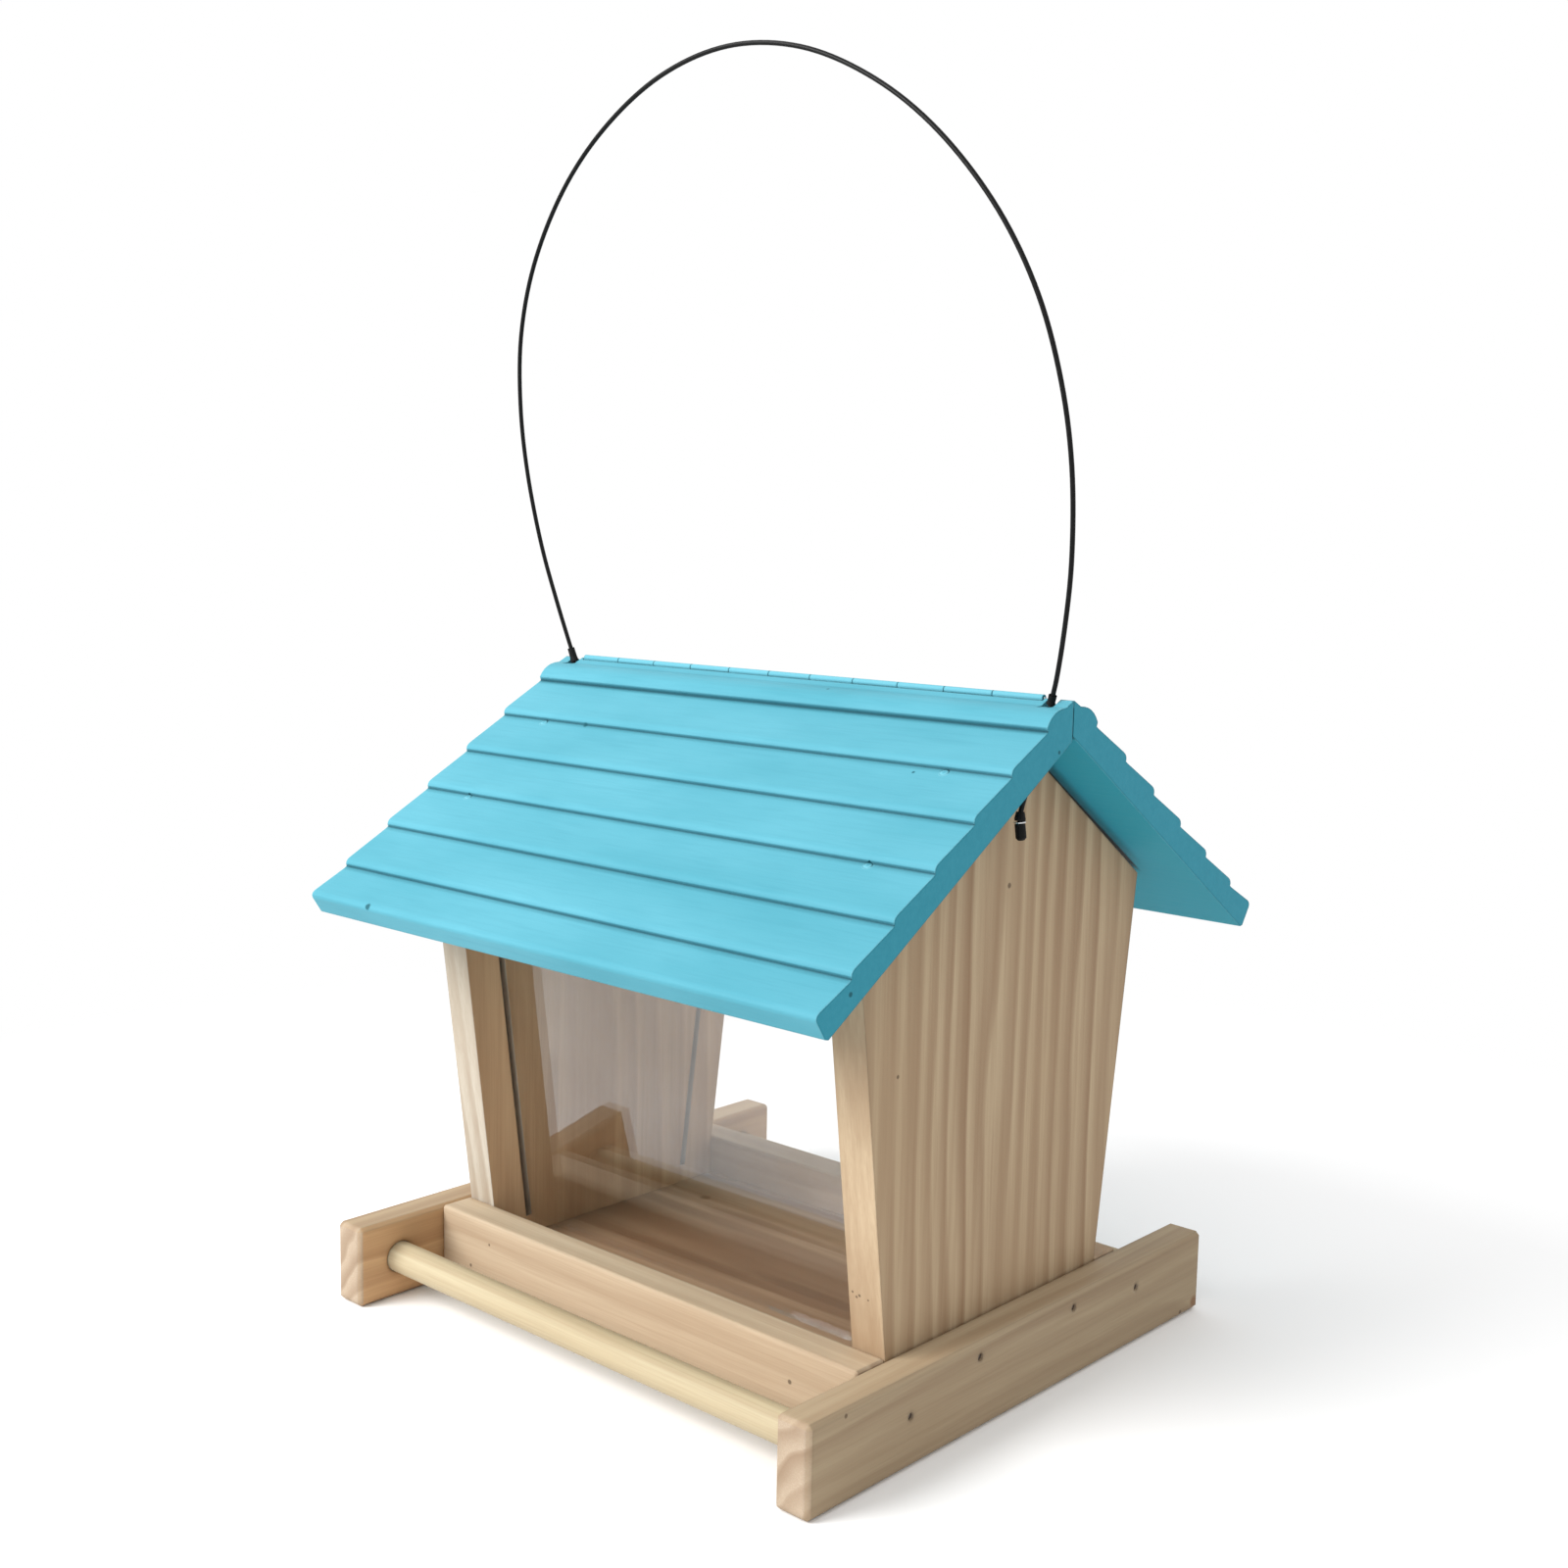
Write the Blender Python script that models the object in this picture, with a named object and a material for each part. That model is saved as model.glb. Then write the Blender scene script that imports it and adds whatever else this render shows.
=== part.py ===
"""Hanging bird feeder: a pine hopper with a stepped roof, two slanted windows, two perches and a wire loop.

Units are metres, +Z is up, X runs along the ridge and -Y is the front. The origin is the middle of the
footprint, on the surface that the feeder can be stood on. The front roof slab is nailed to the end
panels. The rear slab is a lid on a continuous hinge let into the ridge.
"""

import math

import bmesh
import bpy
from mathutils import Matrix, Vector

# Driving dimensions.
GAP = 0.0003  # left between pieces that touch
BOARD = 0.015  # thickness of every board but the roof
RAIL_OUTER_X = 0.129
RAIL_HALF_LENGTH = 0.122
RAIL_HEIGHT = 0.033
TRAY_OUTER_Y = 0.0805
FLOOR_TOP_Z = 0.016

PANEL_SHOULDER_Y = 0.085
GABLE_APEX_Y = 0.003
FRONT_SLOPE = math.radians(33.2)

# The ridge stands this far behind the middle of the hopper, which holds the lid off the gables.
ROOF_Y = 0.005
ROOF_HALF_LENGTH = 0.134
RIDGE_Z = 0.2594
FRONT_UNDERSIDE_APEX_Z = 0.2450
LID_UNDERSIDE_APEX_Z = 0.2469
LID_SLOPE = math.radians(34.1)
COURSES = 6  # full courses below the rounded ridge course
PITCH = 0.02486
EAVE_COURSE = 0.0203
EAVE_TIP_S = 0.1541  # along the front slab's underside, from its apex
RIDGE_TIP_THICKNESS = 0.0141
EAVE_TIP_THICKNESS = 0.0104
STEP_DEPTH = 0.0022

PERCH_Y = 0.102
PERCH_RADIUS = 0.00635
PERCH_SOCKET = 0.008

PANE_THICKNESS = 0.0024
PANE_Y = 0.0473  # middle of the pane, level with the top of the rails
PANE_BOTTOM_Z = 0.024
PANE_TOP_Z = 0.192
GROOVE_DEPTH = 0.006

PIVOT_Z = 0.2594
KNUCKLE_RADIUS = 0.0013
KNUCKLE_BORE = 0.00075
PIN_RADIUS = 0.00045
KNUCKLES = 11
HINGE_HALF_LENGTH = 0.1215
LEAF_THICKNESS = 0.0007
LEAF_BOTTOM_Z = 0.2483
LEAF_SCREW_X = (-0.0884, 0.0, 0.0884)

CABLE_RADIUS = 0.0009
CABLE_X = 0.126
NOTCH_HALF_WIDTH = 0.0025
NOTCH_FLOOR_Z = 0.2568
HOLE_SLOPE = 0.45  # forward run of the cable's hole for each unit of drop

# The loop's route, from its top down the right-hand leg to the end under the roof. The left leg mirrors it.
CABLE_ROUTE = (
    (0.0, -0.0361, 0.4916),
    (0.0355, -0.0357, 0.4862),
    (0.0687, -0.0343, 0.4711),
    (0.0953, -0.0319, 0.4509),
    (0.1184, -0.0278, 0.4233),
    (0.1321, -0.0231, 0.3959),
    (0.1389, -0.0177, 0.3676),
    (0.1408, -0.0123, 0.3399),
    (0.1382, -0.0063, 0.3080),
    (0.1332, -0.0017, 0.2836),
    (0.1284, 0.0015, 0.2655),
    (0.1264, 0.0023, 0.2592),
    (0.1260, 0.0021, 0.2560),
    (0.1260, -0.0019, 0.2472),
    (0.1260, -0.0064, 0.2372),
    (0.1260, -0.0101, 0.2288),
    (0.1260, -0.0125, 0.2236),
    (0.1260, -0.0138, 0.2203),
    (0.1262, -0.0141, 0.2170),
    (0.1267, -0.0139, 0.2126),
)
CABLE_SPAN = 0.011  # longest stretch between two points of the tube

RAIL_NAILS = ((-0.0695, 0.0186), (-0.0303, 0.0272), (0.0287, 0.0278), (0.0727, 0.0231))
ROOF_NAIL_S = (0.037, 0.086)

PINE = ("pine", (0.72, 0.53, 0.33), 0.65, 0.0)
PAINT = ("turquoise_paint", (0.16, 0.60, 0.72), 0.45, 0.0)
HINGE_STEEL = ("painted_steel", (0.18, 0.62, 0.72), 0.4, 0.6)
STEEL = ("bright_steel", (0.62, 0.62, 0.63), 0.35, 1.0)
ACRYLIC = ("clear_acrylic", (0.93, 0.95, 0.95), 0.05, 0.0)
COATING = ("black_plastic", (0.012, 0.012, 0.013), 0.4, 0.0)

RAIL_INNER_X = RAIL_OUTER_X - BOARD
PANEL_OUTER_X = RAIL_INNER_X - GAP
PANEL_INNER_X = PANEL_OUTER_X - BOARD
TRAY_INNER_Y = TRAY_OUTER_Y - BOARD
PANEL_BASE_Y = TRAY_INNER_Y - GAP
GABLE_APEX_Z = FRONT_UNDERSIDE_APEX_Z - (ROOF_Y - GABLE_APEX_Y) * math.tan(FRONT_SLOPE) - 1.2 * GAP
SHOULDER_Z = GABLE_APEX_Z - (PANEL_SHOULDER_Y + GABLE_APEX_Y) * math.tan(FRONT_SLOPE)
TAPER = (PANEL_SHOULDER_Y - PANEL_BASE_Y) / (SHOULDER_Z - RAIL_HEIGHT)
HOLE_AXIS = Vector((0.0, HOLE_SLOPE, 1.0)).normalized()
SEAM = GAP * 0.7  # each mitre face stands this far from the middle plane


def clear_scene():
    for obj in list(bpy.data.objects):
        bpy.data.objects.remove(obj, do_unlink=True)


def material(look):
    name, colour, roughness, metallic = look
    found = bpy.data.materials.get(name)
    if found:
        return found
    made = bpy.data.materials.new(name)
    made.use_nodes = True
    shader = made.node_tree.nodes["Principled BSDF"]
    shader.inputs["Base Color"].default_value = (*colour, 1.0)
    shader.inputs["Roughness"].default_value = roughness
    shader.inputs["Metallic"].default_value = metallic
    if name == "clear_acrylic":
        shader.inputs["Transmission Weight"].default_value = 1.0
    return made


def object_from(name, mesh_data, look, smooth=False):
    """A linked object from a bmesh, its faces turned outwards."""
    bmesh.ops.recalc_face_normals(mesh_data, faces=mesh_data.faces)
    mesh = bpy.data.meshes.new(name)
    mesh_data.to_mesh(mesh)
    mesh_data.free()
    if smooth:
        mesh.shade_smooth()
        mesh.set_sharp_from_angle(angle=math.radians(40))
    obj = bpy.data.objects.new(name, mesh)
    bpy.context.scene.collection.objects.link(obj)
    if look:
        mesh.materials.append(material(look))
    return obj


def box(name, low, high, look=None):
    made = bmesh.new()
    size = [b - a for a, b in zip(low, high)]
    middle = [(a + b) / 2 for a, b in zip(low, high)]
    bmesh.ops.create_cube(made, size=1.0)
    bmesh.ops.transform(made, matrix=Matrix.Diagonal((*size, 1.0)), verts=made.verts)
    obj = object_from(name, made, look)
    obj.location = middle
    return obj


def prism(name, outline, low_x, high_x, look):
    """An outline in the YZ plane, carried along X."""
    made = bmesh.new()
    face = made.faces.new([made.verts.new((low_x, y, z)) for y, z in outline])
    grown = bmesh.ops.extrude_face_region(made, geom=[face])["geom"]
    moved = [item for item in grown if isinstance(item, bmesh.types.BMVert)]
    bmesh.ops.translate(made, verts=moved, vec=(high_x - low_x, 0.0, 0.0))
    return object_from(name, made, look)


def turned(name, profile, look, sides=12, place=Vector((0, 0, 0)), along=Vector((0, 0, 1))):
    """A profile of (radius, height) turned about its own Z, which is then laid along a direction."""
    made = bmesh.new()
    rings = []
    for radius, height in profile:
        if radius == 0.0:
            rings.append([made.verts.new((0.0, 0.0, height))])
            continue
        angles = [2 * math.pi * i / sides for i in range(sides)]
        rings.append([made.verts.new((radius * math.cos(a), radius * math.sin(a), height)) for a in angles])
    closed = profile[0][0] != 0.0
    pairs = list(zip(rings, rings[1:])) + ([(rings[-1], rings[0])] if closed else [])
    for first, second in pairs:
        for i in range(sides):
            j = (i + 1) % sides
            corners = [ring[k % len(ring)] for ring, k in ((first, i), (first, j), (second, j), (second, i))]
            made.faces.new(list(dict.fromkeys(corners)))
    obj = object_from(name, made, look, smooth=True)
    obj.matrix_world = Matrix.Translation(place) @ along.to_track_quat("Z", "Y").to_matrix().to_4x4()
    return obj


def hide(cutter):
    cutter.hide_render = True
    cutter.display_type = "WIRE"
    return cutter


def cut(target, *cutters):
    for cutter in cutters:
        modifier = target.modifiers.new("cut_" + cutter.name, "BOOLEAN")
        modifier.operation = "DIFFERENCE"
        modifier.solver = "EXACT"
        modifier.object = hide(cutter)


def soften(obj, width, segments=1):
    modifier = obj.modifiers.new("edges", "BEVEL")
    modifier.width = width
    modifier.segments = segments
    modifier.limit_method = "ANGLE"
    modifier.angle_limit = math.radians(40)


def curve_points(start, control, end, steps):
    """Points along a quadratic curve from start to end."""
    found = []
    for i in range(steps + 1):
        t = i / steps
        weights = ((1 - t) ** 2, 2 * t * (1 - t), t * t)
        found.append(tuple(sum(w * p[k] for w, p in zip(weights, (start, control, end))) for k in (0, 1)))
    return found


# Fasteners.


def nail_profile(length, head=0.0013, shank=0.00065, grow=0.0):
    return [
        (0.0, grow * 8),
        (head + grow, grow * 8),
        (head + grow, -0.0006 - grow),
        (shank + grow, -0.0006 - grow),
        (shank + grow, -length + 0.0015),
        (0.0, -length - grow),
    ]


def nail(name, place, outwards, length, boards):
    """A brad whose head is sunk under the surface at place, with its own clearance hole in each board."""
    turned(name, nail_profile(length), STEEL, sides=8, place=place, along=outwards)
    hole = turned(name + "_hole", nail_profile(length, grow=GAP), None, 8, place, outwards)
    for board in boards:
        cut(board, hole)


def screw_profile(length, grow=0.0):
    return [
        (0.0, grow * 6),
        (0.0017 + grow, grow * 6),
        (0.0017 + grow, 0.0),
        (0.0009 + grow, -0.0008),
        (0.0009 + grow, -length + 0.002),
        (0.0, -length - grow),
    ]


# Tray and hopper.


def side_rail(name, side):
    low, high = sorted((side * RAIL_INNER_X, side * RAIL_OUTER_X))
    rail = box(name, (low, -RAIL_HALF_LENGTH, 0.0), (high, RAIL_HALF_LENGTH, RAIL_HEIGHT), PINE)
    soften(rail, 0.0015)
    for label, y in (("front", -PERCH_Y), ("rear", PERCH_Y)):
        radius = PERCH_RADIUS + GAP
        profile = [(0.0, PERCH_SOCKET), (radius, PERCH_SOCKET), (radius, -0.003), (0.0, -0.003)]
        place = Vector((side * RAIL_INNER_X, y, RAIL_HEIGHT / 2))
        cut(rail, turned(f"{name}_{label}_socket", profile, None, 24, place, Vector((side, 0, 0))))
    return rail


def tray_rail(name, side):
    low, high = sorted((side * TRAY_INNER_Y, side * TRAY_OUTER_Y))
    half = RAIL_INNER_X - GAP
    rail = box(name, (-half, low, 0.0), (half, high, RAIL_HEIGHT), PINE)
    soften(rail, 0.0008)
    return rail


def perch(name, side):
    reach = RAIL_INNER_X + PERCH_SOCKET - GAP
    profile = [(0.0, reach), (PERCH_RADIUS, reach), (PERCH_RADIUS, -reach), (0.0, -reach)]
    place = Vector((0.0, side * PERCH_Y, RAIL_HEIGHT / 2))
    return turned(name, profile, PINE, sides=24, place=place, along=Vector((1, 0, 0)))


def floor_board():
    x = PANEL_INNER_X - GAP
    y = TRAY_INNER_Y - GAP
    return box("floor_board", (-x, -y, 0.0), (x, y, FLOOR_TOP_Z), PINE)


def pane_outline(side, bottom_z, top_z, half_thickness):
    """The slanted section of a pane, or of its groove."""
    lean = math.hypot(1.0, TAPER)
    across, up = half_thickness / lean, half_thickness * TAPER / lean
    outline = []
    for z in (bottom_z, top_z):
        y = PANE_Y + TAPER * (z - RAIL_HEIGHT)
        outline.append([(side * (y - across), z + up), (side * (y + across), z - up)])
    return [outline[0][0], outline[0][1], outline[1][1], outline[1][0]]


def end_panel(name, side):
    half = [(PANEL_BASE_Y, 0.0), (PANEL_BASE_Y, RAIL_HEIGHT), (PANEL_SHOULDER_Y, SHOULDER_Z)]
    outline = half + [(GABLE_APEX_Y, GABLE_APEX_Z)] + [(-y, z) for y, z in reversed(half)]
    low, high = sorted((side * PANEL_INNER_X, side * PANEL_OUTER_X))
    panel = prism(name, outline, low, high, PINE)
    for label, front in (("front", -1), ("rear", 1)):
        groove = pane_outline(front, PANE_BOTTOM_Z - GAP, GABLE_APEX_Z, PANE_THICKNESS / 2 + GAP)
        ends = sorted((side * (PANEL_INNER_X - 0.002), side * (PANEL_INNER_X + GROOVE_DEPTH)))
        cut(panel, prism(f"{name}_{label}_groove", groove, *ends, None))
    return panel


def window(name, side):
    reach = PANEL_INNER_X + GROOVE_DEPTH - 0.0005
    outline = pane_outline(side, PANE_BOTTOM_Z + GAP, PANE_TOP_Z, PANE_THICKNESS / 2)
    return prism(name, outline, -reach, reach, ACRYLIC)


# Roof. A slab's section is drawn for the rear, with the ridge at y = 0, and mirrored for the front.


def slope_point(s, n):
    """The (y, z) of a point at s down the front slab's underside from its apex, and n out from it."""
    y = s * math.cos(FRONT_SLOPE) + n * math.sin(FRONT_SLOPE)
    z = FRONT_UNDERSIDE_APEX_Z - s * math.sin(FRONT_SLOPE) + n * math.cos(FRONT_SLOPE)
    return y, z


def tip_thickness(s):
    ridge_s = EAVE_TIP_S - EAVE_COURSE - (COURSES - 1) * PITCH
    share = (s - ridge_s) / (EAVE_TIP_S - ridge_s)
    return RIDGE_TIP_THICKNESS + share * (EAVE_TIP_THICKNESS - RIDGE_TIP_THICKNESS)


def ridge_course():
    """The small peak at the mitre, its cove and the rounded nose below it."""
    return [(SEAM, RIDGE_Z)] + curve_points((0.0045, 0.2571), (0.0125, 0.2570), (0.0157, 0.2509), 6)


def course_nose(s, n):
    """The rounded lower edge of a course, and the cove that the next course starts from."""
    nose = curve_points((s - 0.0026, n - 0.0001), (s + 0.0003, n + 0.0001), (s + 0.0008, n - STEP_DEPTH), 4)
    return [slope_point(*point) for point in nose + [(s + 0.0021, n - STEP_DEPTH)]]


def stepped_top():
    """The top of a slab from the mitre to the eave."""
    ridge_s = EAVE_TIP_S - EAVE_COURSE - (COURSES - 1) * PITCH
    points = ridge_course()
    points += [slope_point(ridge_s + run, RIDGE_TIP_THICKNESS - STEP_DEPTH) for run in (0.0008, 0.0022)]
    for i in range(1, COURSES):
        s = ridge_s + i * PITCH
        points += course_nose(s, tip_thickness(s))
    eave = (EAVE_TIP_S, EAVE_TIP_THICKNESS)
    corner = curve_points((eave[0] - 0.0025, eave[1]), eave, (eave[0], eave[1] - 0.002), 3)
    return points + [slope_point(*point) for point in corner]


def slab_outline(slope, apex_z):
    """A whole slab's section, whose underside falls at slope from apex_z in the middle plane."""
    top = stepped_top()
    y, z = top[-1]
    depth = y * math.sin(slope) + (z - apex_z) * math.cos(slope)
    heel = (y - (depth - 0.0012) * math.sin(slope), z - (depth - 0.0012) * math.cos(slope))
    foot_y = y - depth * math.sin(slope) - 0.0012 * math.cos(slope)
    foot = (foot_y, apex_z - foot_y * math.tan(slope))
    return top + [heel, foot, (SEAM, apex_z - SEAM * math.tan(slope))]


def roof_slab(name, side, slope, apex_z):
    outline = [(ROOF_Y + side * y, z) for y, z in slab_outline(slope, apex_z)]
    return prism(name, outline, -ROOF_HALF_LENGTH, ROOF_HALF_LENGTH, PAINT)


def ridge_box(name, span_x, half_width, span_z):
    low, high = ((x, ROOF_Y + sign * half_width, z) for sign, x, z in zip((-1, 1), span_x, span_z))
    return box(name, low, high)


def cut_ridge(front_slab, lid):
    """The hinge's channel and leaf recesses, and the notch where each leg of the cable comes out."""
    reach = HINGE_HALF_LENGTH + 0.0004
    channel_y = KNUCKLE_RADIUS + GAP
    above = RIDGE_Z + 0.01
    channel = ridge_box("hinge_channel", (-reach, reach), channel_y, (PIVOT_Z - channel_y, above))
    recess_y = SEAM + GAP + LEAF_THICKNESS + GAP
    recess = ridge_box("leaf_recess", (-reach, reach), recess_y, (LEAF_BOTTOM_Z - GAP, PIVOT_Z))
    for slab in (front_slab, lid):
        cut(slab, channel, recess)
    for label, side in (("left", -1), ("right", 1)):
        ends = sorted((side * (CABLE_X - NOTCH_HALF_WIDTH), side * (CABLE_X + NOTCH_HALF_WIDTH)))
        notch = ridge_box(f"{label}_cable_notch", ends, 0.008, (NOTCH_FLOOR_Z, above))
        cut(front_slab, notch)
        cut(lid, notch)
        profile = [(0.0, 0.004), (CABLE_RADIUS + 0.0005, 0.004), (CABLE_RADIUS + 0.0005, -0.03), (0.0, -0.03)]
        place = Vector((side * CABLE_X, CABLE_ROUTE[12][1], CABLE_ROUTE[12][2]))
        cut(front_slab, turned(f"{label}_cable_hole", profile, None, 16, place, HOLE_AXIS))


# Ridge hinge.


def knuckle_span(index):
    length = 2 * HINGE_HALF_LENGTH / KNUCKLES
    low = -HINGE_HALF_LENGTH + index * length
    return low + GAP / 2, low + length - GAP / 2


def hinge_leaf(name, side, first_knuckle):
    """A leaf in the mitre with every second knuckle, starting from first_knuckle."""
    near = SEAM + GAP / 2
    low_y, high_y = sorted(ROOF_Y + side * y for y in (near, near + LEAF_THICKNESS))
    top = PIVOT_Z - KNUCKLE_RADIUS - 0.00035
    low = (-HINGE_HALF_LENGTH, low_y, LEAF_BOTTOM_Z)
    leaf = box(name, low, (HINGE_HALF_LENGTH, high_y, top), HINGE_STEEL)
    for index in range(first_knuckle, KNUCKLES, 2):
        low_x, high_x = knuckle_span(index)
        half = (high_x - low_x) / 2
        ring = [(KNUCKLE_BORE, -half), (KNUCKLE_RADIUS, -half), (KNUCKLE_RADIUS, half), (KNUCKLE_BORE, half)]
        place = Vector(((low_x + high_x) / 2, ROOF_Y, PIVOT_Z))
        knuckle = turned(f"{name}_knuckle_{index}", ring, None, 14, place, Vector((1, 0, 0)))
        tab_low = (low_x + 0.0001, low_y + 0.00005, top - 0.0005)
        tab = box(f"{name}_tab_{index}", tab_low, (high_x - 0.0001, high_y - 0.00005, PIVOT_Z - 0.00088))
        for piece in (tab, knuckle):
            union = leaf.modifiers.new("join_" + piece.name, "BOOLEAN")
            union.operation = "UNION"
            union.solver = "EXACT"
            union.object = hide(piece)
    return leaf


def hinge_pin():
    reach = HINGE_HALF_LENGTH
    profile = [(0.0, reach), (PIN_RADIUS, reach), (PIN_RADIUS, -reach), (0.0, -reach)]
    return turned("hinge_pin", profile, STEEL, 10, Vector((0, ROOF_Y, PIVOT_Z)), Vector((1, 0, 0)))


def leaf_screws(label, side, leaf, slab):
    for number, x in enumerate(LEAF_SCREW_X, start=1):
        x += side * 0.012
        place = Vector((x, ROOF_Y + side * (SEAM + GAP / 2), (LEAF_BOTTOM_Z + PIVOT_Z) / 2 - 0.0006))
        outwards = Vector((0, -side, 0))
        name = f"{label}_hinge_screw_{number}"
        turned(name, screw_profile(0.008), STEEL, 10, place, outwards)
        hole = turned(name + "_hole", screw_profile(0.008, grow=GAP), None, 10, place, outwards)
        cut(leaf, hole)
        cut(slab, hole)


# Cable.


def through(points, longest):
    """A smooth centripetal curve through the points, as a list with no stretch much over longest."""
    padded = [2 * points[0] - points[1], *points, 2 * points[-1] - points[-2]]
    found = [points[0]]
    for a, b, c, d in zip(padded, padded[1:], padded[2:], padded[3:]):
        knots = [0.0]
        for first, second in ((a, b), (b, c), (c, d)):
            knots.append(knots[-1] + math.sqrt((second - first).length))
        steps = max(1, round((c - b).length / longest))
        for i in range(1, steps + 1):
            t = knots[1] + (knots[2] - knots[1]) * i / steps
            found.append(curve_value((a, b, c, d), knots, t))
    return found


def curve_value(corners, knots, t):
    """The value at t of the curve through four corners, by repeated blending."""
    ends = [corners[i].lerp(corners[i + 1], (t - knots[i]) / (knots[i + 1] - knots[i])) for i in range(3)]
    middles = [ends[i].lerp(ends[i + 1], (t - knots[i]) / (knots[i + 2] - knots[i])) for i in range(2)]
    return middles[0].lerp(middles[1], (t - knots[1]) / (knots[2] - knots[1]))


def cable_line():
    right = [Vector(point) for point in CABLE_ROUTE]
    left = [Vector((-p.x, p.y, p.z)) for p in right]
    return through(left[::-1] + right[1:], CABLE_SPAN)


def hanging_cable():
    line = cable_line()
    curve = bpy.data.curves.new("hanging_cable", "CURVE")
    curve.dimensions = "3D"
    curve.bevel_depth = CABLE_RADIUS
    curve.bevel_resolution = 2
    curve.use_fill_caps = True
    spline = curve.splines.new("POLY")
    spline.points.add(len(line) - 1)
    for point, place in zip(spline.points, line):
        point.co = (*place, 1.0)
    curve.materials.append(material(COATING))
    obj = bpy.data.objects.new("hanging_cable", curve)
    bpy.context.scene.collection.objects.link(obj)
    return obj


def cable_stop(label, side):
    """The rubber bush, washer and crimped sleeve that hold a leg's end under the roof."""
    above, upper, lower = (Vector((side * x, y, z)) for x, y, z in CABLE_ROUTE[-3:])
    up = (upper - lower).normalized()
    bore = CABLE_RADIUS + GAP
    sleeve = [
        (0.0, -0.0018),
        (0.0012, -0.0016),
        (0.0019, -0.0008),
        (0.0019, 0.0040),
        (0.0017, 0.0042),
        (bore, 0.0042),
        (bore, -GAP),
        (0.0, -GAP),
    ]
    washer = [(bore, 0.0045), (0.0022, 0.0045), (0.0022, 0.0049), (bore, 0.0049)]
    bush = [(bore + 0.0001, 0.0), (0.0019, 0.0), (0.0020, 0.0007), (0.0015, 0.0032), (bore + 0.0001, 0.0032)]
    turned(f"{label}_stop_sleeve", sleeve, COATING, 14, lower, up)
    turned(f"{label}_stop_washer", washer, STEEL, 16, lower, up)
    bush_up = (above - upper).normalized()
    turned(f"{label}_stop_bush", bush, COATING, 14, upper + bush_up * 0.0008, bush_up)


def cable_boot(label, side, base_radius, height):
    """The flared boot that stands on the floor of the ridge notch, round the foot of a leg."""
    foot, above = (Vector((side * x, y, z)) for x, y, z in CABLE_ROUTE[11:9:-1])
    up = (above - foot).normalized()
    tilt = math.sqrt(1.0 - up.z**2)
    base = foot + up * (NOTCH_FLOOR_Z + GAP + base_radius * tilt - foot.z) / up.z
    bore = CABLE_RADIUS + 0.0005
    tip = bore + 0.00015
    waist = base_radius * 0.85
    profile = [(bore, 0.0), (base_radius, 0.0), (waist, height * 0.35), (tip, height), (bore, height)]
    turned(f"{label}_cable_boot", profile, COATING, 14, base, up)


def build():
    clear_scene()
    rails = {side: side_rail(f"{label}_side_rail", side) for label, side in (("left", -1), ("right", 1))}
    trays = {side: tray_rail(f"{label}_tray_rail", side) for label, side in (("front", -1), ("rear", 1))}
    panels = {side: end_panel(f"{label}_end_panel", side) for label, side in (("left", -1), ("right", 1))}
    floor_board()
    perch("front_perch", -1)
    perch("rear_perch", 1)
    window("front_window", -1)
    window("rear_window", 1)

    front_slab = roof_slab("front_roof_panel", -1, FRONT_SLOPE, FRONT_UNDERSIDE_APEX_Z)
    lid = roof_slab("rear_roof_lid", 1, LID_SLOPE, LID_UNDERSIDE_APEX_Z)
    cut_ridge(front_slab, lid)
    front_leaf = hinge_leaf("front_hinge_leaf", -1, 0)
    lid_leaf = hinge_leaf("lid_hinge_leaf", 1, 1)
    hinge_pin()
    leaf_screws("front", -1, front_leaf, front_slab)
    leaf_screws("lid", 1, lid_leaf, lid)

    for label, side in (("left", -1), ("right", 1)):
        for number, (y, z) in enumerate(RAIL_NAILS, start=1):
            inner = trays[-1 if y < 0 else 1] if abs(y) > TRAY_INNER_Y else panels[side]
            place = Vector((side * (RAIL_OUTER_X - 0.0008), y, z))
            nail(f"{label}_rail_nail_{number}", place, Vector((side, 0, 0)), 0.026, (rails[side], inner))
        for number, s in enumerate(ROOF_NAIL_S, start=1):
            y, z = slope_point(s, tip_thickness(s) - STEP_DEPTH * 0.75)
            outwards = Vector((0, -math.sin(FRONT_SLOPE), math.cos(FRONT_SLOPE)))
            place = Vector((side * (PANEL_INNER_X + BOARD / 2), ROOF_Y - y, z)) - outwards * 0.001
            nail(f"{label}_roof_nail_{number}", place, outwards, 0.026, (front_slab, panels[side]))
        cable_stop(label, side)
    hanging_cable()
    cable_boot("left", -1, 0.0019, 0.0060)
    cable_boot("right", 1, 0.0017, 0.0035)


build()
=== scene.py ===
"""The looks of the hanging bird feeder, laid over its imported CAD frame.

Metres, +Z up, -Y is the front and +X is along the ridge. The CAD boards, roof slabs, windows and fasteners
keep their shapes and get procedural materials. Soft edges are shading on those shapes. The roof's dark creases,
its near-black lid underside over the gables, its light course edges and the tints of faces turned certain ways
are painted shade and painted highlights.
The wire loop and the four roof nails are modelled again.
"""

import math

import bpy
from mathutils import Matrix, Vector


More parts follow.
